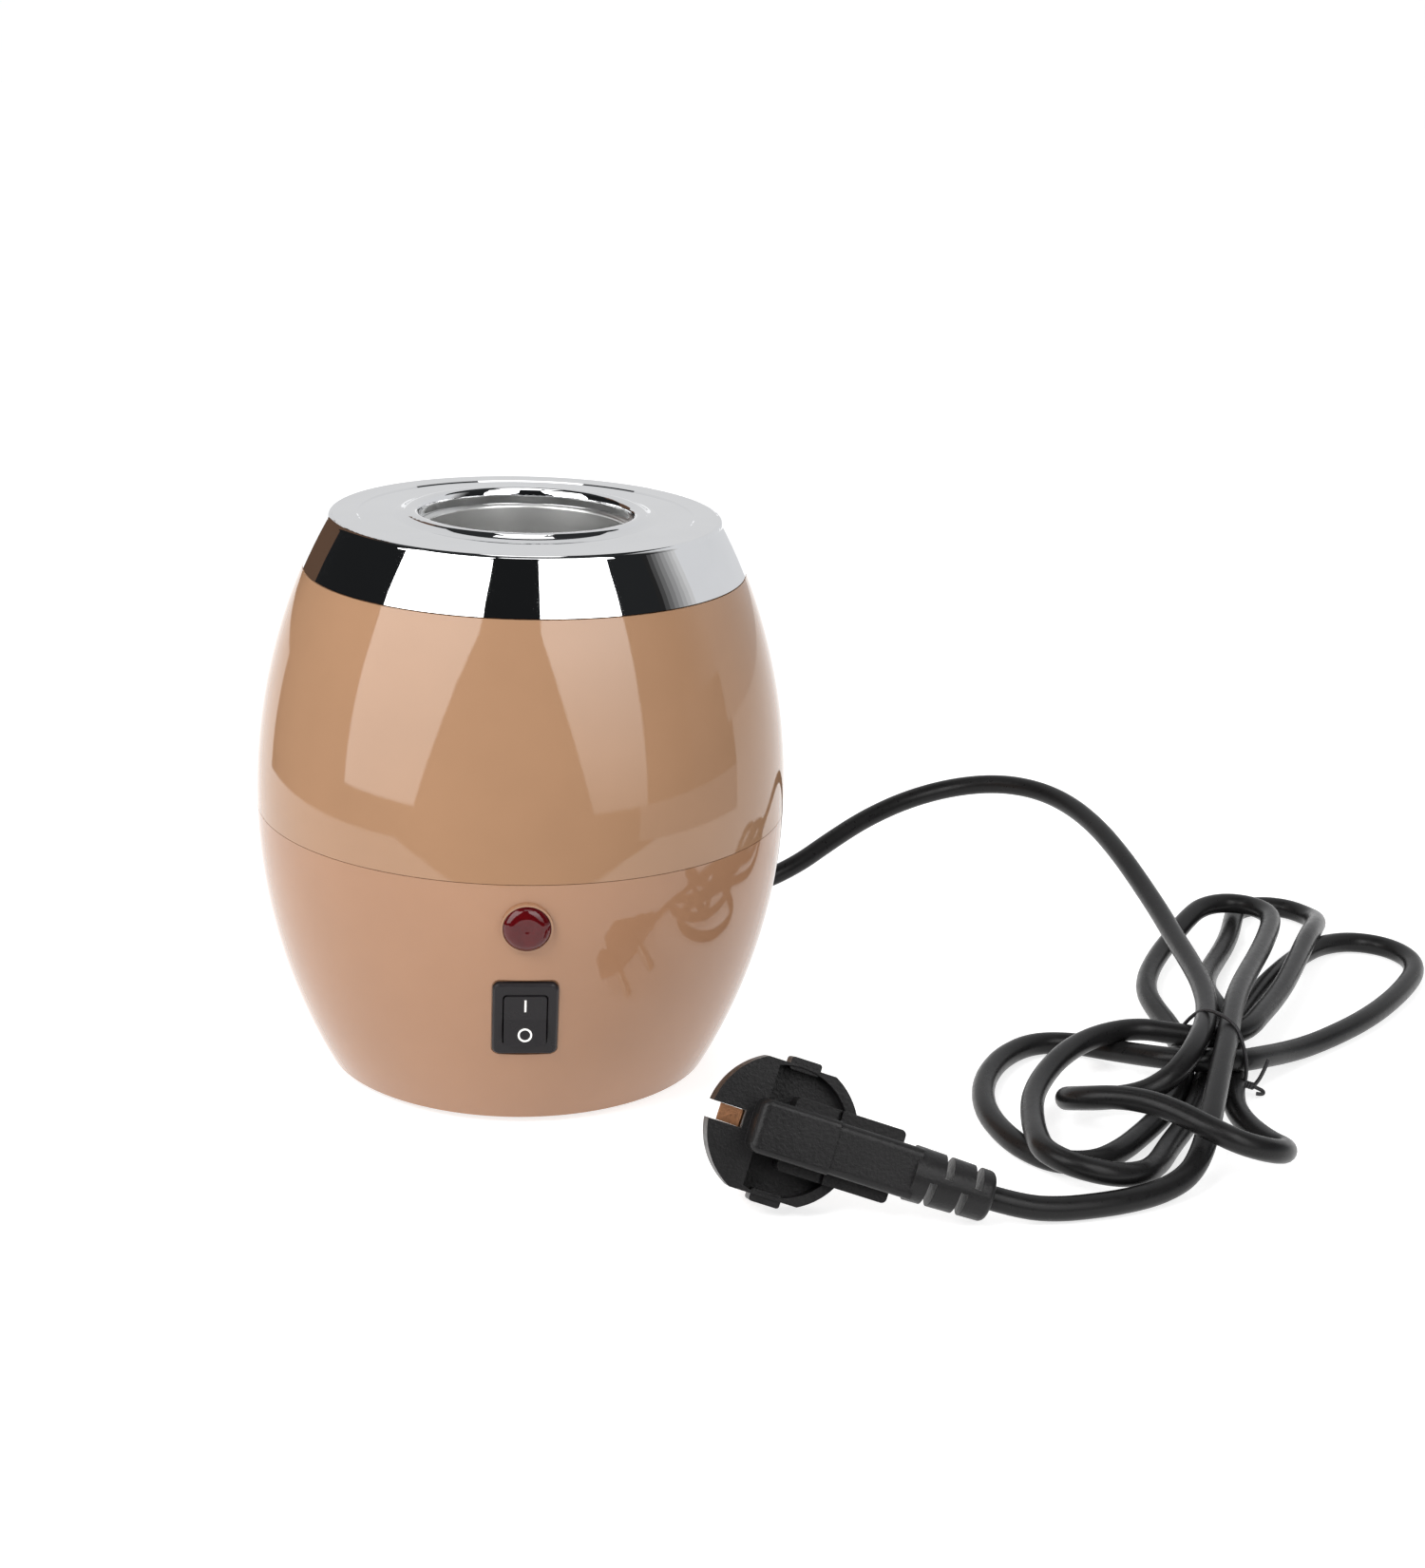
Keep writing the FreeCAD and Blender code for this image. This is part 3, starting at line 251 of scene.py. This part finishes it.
class Finish:
    """A Principled material with procedural colour, roughness and relief, in metres."""

    def __init__(self, name, colour, roughness, metallic=0.0, **sockets):
        self.mat = bpy.data.materials.new(name)
        self.mat.use_nodes = True
        self.nodes = self.mat.node_tree.nodes
        self.links = self.mat.node_tree.links
        self.shader = self.nodes["Principled BSDF"]
        self.colour = colour
        self.shader.inputs["Base Color"].default_value = (*colour, 1)
        self.shader.inputs["Roughness"].default_value = roughness
        self.shader.inputs["Metallic"].default_value = metallic
        for socket, value in sockets.items():
            self.shader.inputs[socket.replace("_", " ")].default_value = value
        self.place = self.nodes.new("ShaderNodeTexCoord").outputs["Object"]
        self.relief = None

    def soften(self, radius):
        """Shade crisp edges as if they had a small radius."""
        edge = self.nodes.new("ShaderNodeBevel")
        edge.samples = BEVEL_SAMPLES
        edge.inputs["Radius"].default_value = radius
        self.relief = edge.outputs["Normal"]

    def noise(self, size, detail=4.0, roughness=0.55, stretch=(1, 1, 1), place=None):
        """Soft random spots of about this size, from 0 to 1 and mostly near 0.5."""
        mapping = self.nodes.new("ShaderNodeMapping")
        mapping.inputs["Scale"].default_value = stretch
        self.links.new(place or self.place, mapping.inputs["Vector"])
        texture = self.nodes.new("ShaderNodeTexNoise")
        texture.inputs["Scale"].default_value = 1 / size
        texture.inputs["Detail"].default_value = detail
        texture.inputs["Roughness"].default_value = roughness
        self.links.new(mapping.outputs["Vector"], texture.inputs["Vector"])
        return texture.outputs["Fac"]

    def rings(self):
        """Distance from the Z axis and height, so that a pattern on it runs round the axis."""
        parts = self.nodes.new("ShaderNodeSeparateXYZ")
        self.links.new(self.place, parts.inputs[0])
        flat = self.nodes.new("ShaderNodeCombineXYZ")
        self.links.new(parts.outputs["X"], flat.inputs["X"])
        self.links.new(parts.outputs["Y"], flat.inputs["Y"])
        length = self.nodes.new("ShaderNodeVectorMath")
        length.operation = "LENGTH"
        self.links.new(flat.outputs[0], length.inputs[0])
        both = self.nodes.new("ShaderNodeCombineXYZ")
        self.links.new(length.outputs["Value"], both.inputs["X"])
        self.links.new(parts.outputs["Z"], both.inputs["Z"])
        return both.outputs[0]

    def ranged(self, value, low, high, start=0.3, end=0.7):
        """The value's span from start to end, stretched to low to high."""
        span = self.nodes.new("ShaderNodeMapRange")
        span.inputs["From Min"].default_value = start
        span.inputs["From Max"].default_value = end
        span.inputs["To Min"].default_value = low
        span.inputs["To Max"].default_value = high
        self.links.new(value, span.inputs["Value"])
        return span.outputs["Result"]

    def tint(self, value, other, start=0.3, end=0.7):
        """Turn the colour into the other one where the value is high."""
        mix = self.nodes.new("ShaderNodeMix")
        mix.data_type = "RGBA"
        mix.inputs["A"].default_value = (*self.colour, 1)
        mix.inputs["B"].default_value = (*other, 1)
        self.links.new(self.ranged(value, 0, 1, start, end), mix.inputs["Factor"])
        self.links.new(mix.outputs["Result"], self.shader.inputs["Base Color"])

    def rough(self, value, low, high):
        self.links.new(self.ranged(value, low, high), self.shader.inputs["Roughness"])

    def bump(self, value, depth):
        """Relief this deep, on top of any that is there."""
        node = self.nodes.new("ShaderNodeBump")
        node.inputs["Strength"].default_value = 1.0
        node.inputs["Distance"].default_value = depth
        self.links.new(value, node.inputs["Height"])
        if self.relief is not None:
            self.links.new(self.relief, node.inputs["Normal"])
        self.relief = node.outputs["Normal"]
        self.links.new(self.relief, self.shader.inputs["Normal"])


# Base colours, in linear light.
TAN = (0.345, 0.197, 0.113)
TAN_LOWER = (0.35, 0.187, 0.106)
CHROME = (0.86, 0.865, 0.875)
ALUMINIUM = (0.74, 0.74, 0.73)
MICA = (0.55, 0.53, 0.48)
STEEL = (0.62, 0.62, 0.62)
BRASS = (0.72, 0.52, 0.25)
COPPER = (0.50, 0.25, 0.13)
NICKEL = (0.70, 0.66, 0.58)
BLACK = (0.0085, 0.0083, 0.0085)
SWITCH_BLACK = (0.016, 0.0145, 0.016)
PLUG_BLACK = (0.0095, 0.0092, 0.0095)
LENS_RED = (0.13, 0.004, 0.006)
LENS_DARK_RED = (0.09, 0.003, 0.005)
CLEAR = (0.95, 0.95, 0.93)


def shade(colour, factor):
    return tuple(value * factor for value in colour)


def moulded(name, colour, roughness=0.25, grain=0.004, depth=0.00002, edge=0.0, **sockets):
    """Glossy injection-moulded plastic: faint flow mottle, orange peel and fine scuffs."""
    finish = Finish(name, colour, roughness, **sockets)
    if edge:
        finish.soften(edge)
    finish.tint(finish.noise(size=0.03, detail=3), shade(colour, 0.94))
    finish.rough(finish.noise(size=0.006, detail=5), roughness * 0.85, roughness * 1.2)
    finish.bump(finish.noise(grain, detail=2), depth)
    finish.bump(finish.noise(size=0.0004, detail=2), depth=0.000003)
    return finish.mat


def matte_grain(name, colour, roughness=0.5, grain=0.0006, depth=0.00002, edge=0.0, **sockets):
    """Soft or eroded plastic and rubber with a fine sparkle grain."""
    finish = Finish(name, colour, roughness, **sockets)
    if edge:
        finish.soften(edge)
    finish.tint(finish.noise(size=0.012, detail=4), shade(colour, 1.35))
    finish.rough(finish.noise(size=0.002, detail=4), roughness * 0.85, min(1.0, roughness * 1.2))
    finish.bump(finish.noise(grain, detail=3, roughness=0.6), depth)
    return finish.mat


def polished(name, colour, roughness=0.06, smudge=0.03):
    """Plated metal: mirror bright, with faint wiping marks."""
    finish = Finish(name, colour, roughness, 1.0)
    finish.tint(finish.noise(size=0.02, detail=3), shade(colour, 0.96))
    smudges = finish.noise(size=0.009, detail=5, stretch=(1, 1, 2))
    finish.rough(smudges, roughness, roughness + smudge)
    finish.bump(finish.noise(size=0.02, detail=2), depth=0.00001)
    return finish.mat


def spun(name, colour, roughness=0.3):
    """Sheet metal finished on a lathe: fine lines run round the axis."""
    finish = Finish(name, colour, roughness, 1.0)
    rings = finish.rings()
    finish.tint(finish.noise(size=0.01, detail=4), shade(colour, 0.95))
    finish.rough(finish.noise(size=0.0012, detail=4, place=rings), roughness * 0.9, roughness * 1.1)
    finish.bump(finish.noise(size=0.0003, detail=3, place=rings), depth=0.0000006)
    return finish.mat


def worked(name, colour, roughness=0.35):
    """Stamped, drawn or turned small metal parts."""
    finish = Finish(name, colour, roughness, 1.0)
    finish.tint(finish.noise(size=0.003, detail=4), shade(colour, 0.85))
    finish.rough(finish.noise(size=0.001, detail=4), roughness * 0.8, roughness * 1.3)
    finish.bump(finish.noise(size=0.0008, detail=3), depth=0.000003)
    return finish.mat


RIBS_PER_METRE = 260
RIB_WANDER = 1.2
STRIPES_PER_METRE = 120


def woven(name, colour):
    """Braided glass sleeve: two crossing rib patterns."""
    finish = Finish(name, colour, 0.75)
    finish.tint(finish.noise(size=0.004, detail=4), shade(colour, 0.82))
    for direction in ("X", "Z"):
        wave = finish.nodes.new("ShaderNodeTexWave")
        wave.bands_direction = direction
        wave.inputs["Scale"].default_value = RIBS_PER_METRE
        wave.inputs["Distortion"].default_value = RIB_WANDER
        finish.links.new(finish.place, wave.inputs["Vector"])
        finish.bump(wave.outputs["Fac"], depth=0.0001)
    return finish.mat


def striped(name, colour, other):
    """Two-colour wire insulation."""
    finish = Finish(name, colour, 0.35)
    wave = finish.nodes.new("ShaderNodeTexWave")
    wave.inputs["Scale"].default_value = STRIPES_PER_METRE
    finish.links.new(finish.place, wave.inputs["Vector"])
    finish.tint(wave.outputs["Fac"], other, start=0.45, end=0.55)
    finish.bump(finish.noise(size=0.0006, detail=3), depth=0.00001)
    return finish.mat


def red_lens(name):
    """Deep red clear plastic."""
    finish = Finish(name, LENS_RED, 0.03, Transmission_Weight=0.35, IOR=1.45)
    finish.tint(finish.noise(size=0.004, detail=3), LENS_DARK_RED)
    finish.bump(finish.noise(size=0.002, detail=2), depth=0.00001)
    return finish.mat


def glass(name):
    """Clear glass with a faint ripple."""
    finish = Finish(name, CLEAR, 0.05, Transmission_Weight=0.9, IOR=1.5)
    finish.bump(finish.noise(size=0.002, detail=2), depth=0.00001)
    return finish.mat


LOOKS = {
    "tan": moulded("tan_shell_plastic", TAN, 0.035, grain=0.009, depth=0.000006, IOR=1.5),
    "tan_lower": moulded("tan_lower_plastic", TAN_LOWER, 0.035, grain=0.009, depth=0.000006),
    "tan_inner": moulded("tan_collar_plastic", shade(TAN, 0.85), 0.25),
    "chrome": polished("bright_chrome", CHROME, 0.015, smudge=0.02),
    "well": spun("satin_aluminium", ALUMINIUM, 0.38),
    "band": spun("mica_band", MICA, 0.45),
    "steel": worked("zinc_steel", STEEL, 0.3),
    "brass": worked("brass", BRASS, 0.28),
    "nickel": worked("nickel_brass", NICKEL, 0.2),
    "black": moulded(
        "black_switch_plastic", SWITCH_BLACK, 0.3, grain=0.003, depth=0.000004, edge=0.0004,
        Specular_IOR_Level=0.2,
    ),
    "copper": worked("copper_alloy_spring", COPPER, 0.4),
    "white_mark": matte_grain(
        "white_mark_ink", srgb(232, 230, 226), 0.45, grain=0.0003, depth=0.000004,
    ),
    "pvc": matte_grain(
        "black_cord_pvc", BLACK, 0.3, grain=0.0005, depth=0.000005, Specular_IOR_Level=0.2,
    ),
    "plug": matte_grain(
        "black_plug_pvc", PLUG_BLACK, 0.36, grain=0.0009, depth=0.00012, edge=0.00025,
        Specular_IOR_Level=0.22,
    ),
    "relief": matte_grain(
        "black_gland_nylon", srgb(34, 33, 34), 0.45, grain=0.0006, depth=0.00002,
    ),
    "rubber": matte_grain(
        "black_foot_rubber", srgb(30, 29, 29), 0.75, grain=0.0008, depth=0.00004,
    ),
    "tie": matte_grain("black_tie_paper", srgb(30, 29, 31), 0.5, grain=0.0004, depth=0.00001),
    "seal": matte_grain("silicone_seal", srgb(170, 60, 45), 0.5),
    "fibre": woven("glass_fibre_sleeve", srgb(214, 208, 192)),
    "nylon": moulded("ivory_nylon", srgb(226, 220, 200), 0.35),
    "phenolic": matte_grain("brown_phenolic", srgb(74, 44, 30), 0.4),
    "lens": red_lens("red_lamp_lens"),
    "glass": glass("neon_glass"),
    "wire_brown": moulded("brown_wire", srgb(96, 54, 34), 0.35),
    "wire_blue": moulded("blue_wire", srgb(36, 78, 150), 0.35),
    "wire_earth": striped("earth_wire", srgb(60, 140, 50), srgb(225, 205, 40)),
    "wire_red": moulded("red_wire", srgb(160, 30, 30), 0.35),
    "wire_white": moulded("white_wire", srgb(225, 222, 214), 0.35),
    "wire_black": moulded("black_wire", srgb(32, 32, 34), 0.35),
}
NODE_LOOKS = {
    "tan": ["upper_shell"],
    "tan_lower": ["lower_shell"],
    "tan_inner": ["lamp_body", "base_plate"],
    "chrome": ["top_ring"],
    "well": ["warming_well"],
    "band": ["heater_band"],
    "steel": [
        "base_screws", "shell_screws", "ring_screws", "heater_clamps", "clamp_screws",
        "thermostat_screws", "cord_clamp_screws", "earth_tag", "earth_screw", "terminal_screws",
        "lamp_clip",
    ],
    "brass": ["switch_terminals"],
    "copper": ["plug_earth_contacts"],
    "nickel": ["plug_pins"],
    "black": ["switch_housing", "switch_rocker"],
    "white_mark": ["rocker_marks"],
    "plug": ["plug_body"],
    "relief": ["cable_gland", "cord_clamp"],
    "pvc": ["inner_cord", "cord_lead", "cord_tail", "cord_hank"],
    "tie": ["cord_tie"],
    "rubber": ["rubber_feet"],
    "seal": ["well_seal"],
    "fibre": ["insulation_sleeve"],
    "nylon": ["terminal_block"],
    "phenolic": ["thermostat"],
    "lens": ["lamp_lens"],
    "glass": ["neon_bulb", "thermal_fuse"],
    "wire_brown": ["wire_live"],
    "wire_blue": ["wire_neutral"],
    "wire_earth": ["wire_earth"],
    "wire_black": ["wire_switched"],
    "wire_red": ["wire_heater"],
    "wire_white": ["wire_return", "wire_lamp"],
}


def dress(piece, look):
    """Put the look on all of the piece's material slots."""
    slots = piece.data.materials
    if len(slots) == 0:
        slots.append(LOOKS[look])
    for number in range(len(slots)):
        slots[number] = LOOKS[look]


for look, names in NODE_LOOKS.items():
    for name in names:
        dress(NODES[name], look)
dress(CORD, "pvc")
dress(TIE, "tie")


# ---- stage and light ----------------------------------------------------------
GLOW_FADE = (0.05, 0.3)


def glowing(name, colour, strength, top_strength=None):
    """Light of one strength, or fading over the heights of GLOW_FADE to another at the top."""
    mat = bpy.data.materials.new(name)
    mat.use_nodes = True
    nodes, links = mat.node_tree.nodes, mat.node_tree.links
    nodes.remove(nodes["Principled BSDF"])
    glow = nodes.new("ShaderNodeEmission")
    glow.inputs["Color"].default_value = (*colour, 1)
    glow.inputs["Strength"].default_value = strength
    links.new(glow.outputs[0], nodes["Material Output"].inputs["Surface"])
    if top_strength is not None:
        parts = nodes.new("ShaderNodeSeparateXYZ")
        links.new(nodes.new("ShaderNodeTexCoord").outputs["Object"], parts.inputs[0])
        span = nodes.new("ShaderNodeMapRange")
        span.inputs["From Min"].default_value, span.inputs["From Max"].default_value = GLOW_FADE
        span.inputs["To Min"].default_value = strength
        span.inputs["To Max"].default_value = top_strength
        links.new(parts.outputs["Z"], span.inputs["Value"])
        links.new(span.outputs["Result"], glow.inputs["Strength"])
    return mat


FLOOR_HALF = 6.0
FLOOR_DROP = 0.0002
FLOOR_GREY = (0.45, 0.45, 0.45)
FLOOR_GLOW = 0.75


def four_corners(name, corners, mat):
    """A mesh of one flat face."""
    mesh = bpy.data.meshes.new(name)
    mesh.from_pydata(corners, [], [(0, 1, 2, 3)])
    mesh.materials.append(mat)
    return mesh


def level(half, near, far, z):
    return [(-half, near, z), (half, near, z), (half, far, z), (-half, far, z)]


def upright(half, y, low, high):
    return [(-half, y, low), (half, y, low), (half, y, high), (-half, y, high)]


def make_floor():
    """Pale paper just under the feet. It also glows, so that it comes out white."""
    finish = Finish(
        "floor_paper", FLOOR_GREY, 0.8, Emission_Color=(1, 1, 1, 1), Emission_Strength=FLOOR_GLOW,
    )
    finish.rough(finish.noise(size=0.05, detail=3), 0.75, 0.9)
    corners = level(FLOOR_HALF, -FLOOR_HALF, FLOOR_HALF, 0)
    floor = bpy.data.objects.new("floor", four_corners("floor", corners, finish.mat))
    floor.location.z = -FLOOR_DROP
    SCENE.collection.objects.link(floor)


def reflected_only(name, mesh):
    """Stage a card that only mirror reflections see."""
    piece = bpy.data.objects.new(name, mesh)
    SCENE.collection.objects.link(piece)
    piece.visible_camera = False
    piece.visible_diffuse = False
    piece.visible_shadow = False
    piece.visible_transmission = False


def card(name, foot, head, low, high, mat, steps=16):
    """A curved card round the pot. foot and head are its start and end angles at its two
    heights, from the front, right positive."""
    mesh = bpy.data.meshes.new(name)
    points = []
    for step in range(steps + 1):
        for (start, end), z in ((foot, low), (head, high)):
            turn = math.radians(start + (end - start) * step / steps)
            points.append((CARD_R * math.sin(turn), -CARD_R * math.cos(turn), z))
    faces = [(2 * n, 2 * n + 2, 2 * n + 3, 2 * n + 1) for n in range(steps)]
    mesh.from_pydata(points, [], faces)
    mesh.materials.append(mat)
    reflected_only(name, mesh)


CARD_R = 0.4
DARK = (0.9, 0.95, 1)
WHITE = (1, 1, 1)
BROWN = (1.0, 0.58, 0.38)
COOL = (0.97, 0.98, 1)
# Name, angles at the foot and at the head, heights, colour, strength at the foot, strength at
# the top or None for an even one.
CARDS = [
    ("card_left_white", (-74.5, -43), (-74.5, -22.5), 0.05, 0.33, WHITE, 3.0, 4.2),
    ("card_left_white_top", (-74.5, -22.5), (-74.5, -20), 0.33, 0.56, WHITE, 4.2, None),
    ("card_gap", (-43, 26), (-22.5, 6.5), 0.05, 0.33, DARK, 0.012, None),
    ("card_gap_top", (-22.5, 6.5), (-20, 6.5), 0.33, 0.6, DARK, 0.012, None),
    ("card_right_white", (26, 48), (6.5, 48), 0.05, 0.33, WHITE, 1.2, 4.4),
    ("card_right_white_top", (6.5, 48), (6.5, 47.5), 0.33, 0.56, WHITE, 4.4, None),
    ("card_right_black", (48, 70), (48, 70), 0.05, 0.7, DARK, 0.02, None),
    ("card_foot_black", (-74.5, 45), (-74.5, 45), 0.0, 0.05, DARK, 0.012, None),
    ("card_foot_right", (45, 95), (45, 95), 0.0, 0.05, DARK, 0.6, None),
    ("card_right_shade", (70, 95), (70, 95), 0.05, 0.16, DARK, 0.12, None),
    ("card_right_grey", (92, 150), (92, 150), 0.1, 0.7, COOL, 0.74, None),
    ("card_left_black", (-127, -74.5), (-127, -74.5), 0.0, 0.7, DARK, 0.014, None),
    ("card_left_brown", (-152, -127), (-152, -127), 0.1, 0.6, BROWN, 0.115, None),
    ("card_top_dark", (-127, -20), (-127, -20), 0.56, 1.0, DARK, 0.03, None),
    ("card_top_white", (-20, 33), (-20, 33), 0.6, 1.0, WHITE, 2.0, None),
]
# The right-hand black turns grey in narrow cards: angles, how many, heights, and strengths.
FADE_ANGLES = (70, 92)
FADE_CARDS = 8
FADE_HEIGHTS = (0.16, 0.7)
FADE_START, FADE_RISE, FADE_POWER = 0.02, 0.72, 1.3
# Level cards: name, half width, near, far, height, colour, strength. The first darkens the
# ground in front of the pot, and the rims mirror the two overhead.
FLAT_CARDS = [
    ("ground_dark", 0.4, -0.4, -0.25, 0.0004, DARK, 0.02),
    ("overhead_dark", 0.24, -0.2, 0.26, 0.46, DARK, 0.03),
    ("overhead_white", 0.05, 0.02, 0.17, 0.455, WHITE, 2.0),
]
SHEET_WHITE = (0.985, 0.99, 1)


def fade_cards():
    start, end = FADE_ANGLES
    low, high = FADE_HEIGHTS
    wide = (end - start) / FADE_CARDS
    for step in range(FADE_CARDS):
        name = f"card_fade_{step}"
        angles = (start + step * wide, start + (step + 1) * wide)
        strength = FADE_START + FADE_RISE * (step / FADE_CARDS) ** FADE_POWER
        card(name, angles, angles, low, high, glowing(name, WHITE, strength), steps=2)


def backdrop(name, corners, strength):
    """A glowing white sheet behind the pot."""
    piece = bpy.data.objects.new(
        name, four_corners(name, corners, glowing(name, SHEET_WHITE, strength))
    )
    SCENE.collection.objects.link(piece)
    piece.visible_diffuse = False
    piece.visible_shadow = False
    return piece


def area_light(name, place, target, size, power):
    """A soft light aimed at the target. Mirror reflections don't see it."""
    lamp = bpy.data.lights.new(name, "AREA")
    lamp.shape = "RECTANGLE"
    lamp.size, lamp.size_y = size
    lamp.energy = power
    piece = bpy.data.objects.new(name, lamp)
    piece.location = place
    piece.rotation_euler = (Vector(target) - Vector(place)).to_track_quat("-Z", "Y").to_euler()
    piece.visible_glossy = False
    SCENE.collection.objects.link(piece)


WORLD_STRENGTH = 0.6
# Name, place, target, size, watts.
LAMPS = [
    ("key", (-0.6, -0.6, 0.9), (0.03, 0, 0.06), (0.5, 0.5), 11.4),
    ("fill", (0.75, -0.55, 0.7), (0.05, 0, 0.05), (0.5, 0.5), 2.2),
    ("back", (0.1, 0.9, 0.9), (0.03, 0, 0.1), (0.9, 0.4), 5),
]


def make_light():
    world = bpy.data.worlds.new("studio")
    world.use_nodes = True
    background = world.node_tree.nodes["Background"]
    background.inputs["Color"].default_value = (1, 1, 1, 1)
    background.inputs["Strength"].default_value = WORLD_STRENGTH
    SCENE.world = world
    for name, place, target, size, power in LAMPS:
        area_light(name, place, target, size, power)


def make_studio():
    for name, foot, head, low, high, colour, strength, top in CARDS:
        card(name, foot, head, low, high, glowing(name, colour, strength, top))
    fade_cards()
    for name, half, near, far, height, colour, strength in FLAT_CARDS:
        mat = glowing(name, colour, strength)
        reflected_only(name, four_corners(name, level(half, near, far, height), mat))
    backdrop("backdrop", upright(8.0, 5.5, -0.1, 4.0), 1.02)
    ceiling = backdrop("top_reflection", upright(2.0, 1.6, 0.25, 2.4), 0.72)
    ceiling.visible_camera = False


make_floor()
make_studio()
make_light()
SCENE.view_settings.view_transform = "Standard"


SMOOTH_ANGLE = 32


def smooth(piece):
    """Curved faces shade smoothly and edges stay crisp. No vertex moves."""
    for polygon in piece.data.polygons:
        polygon.use_smooth = True
    piece.data.set_sharp_from_angle(angle=math.radians(SMOOTH_ANGLE))


for node in NODES.values():
    smooth(node)

bpy.context.view_layer.update()  # so that the curves' boxes count
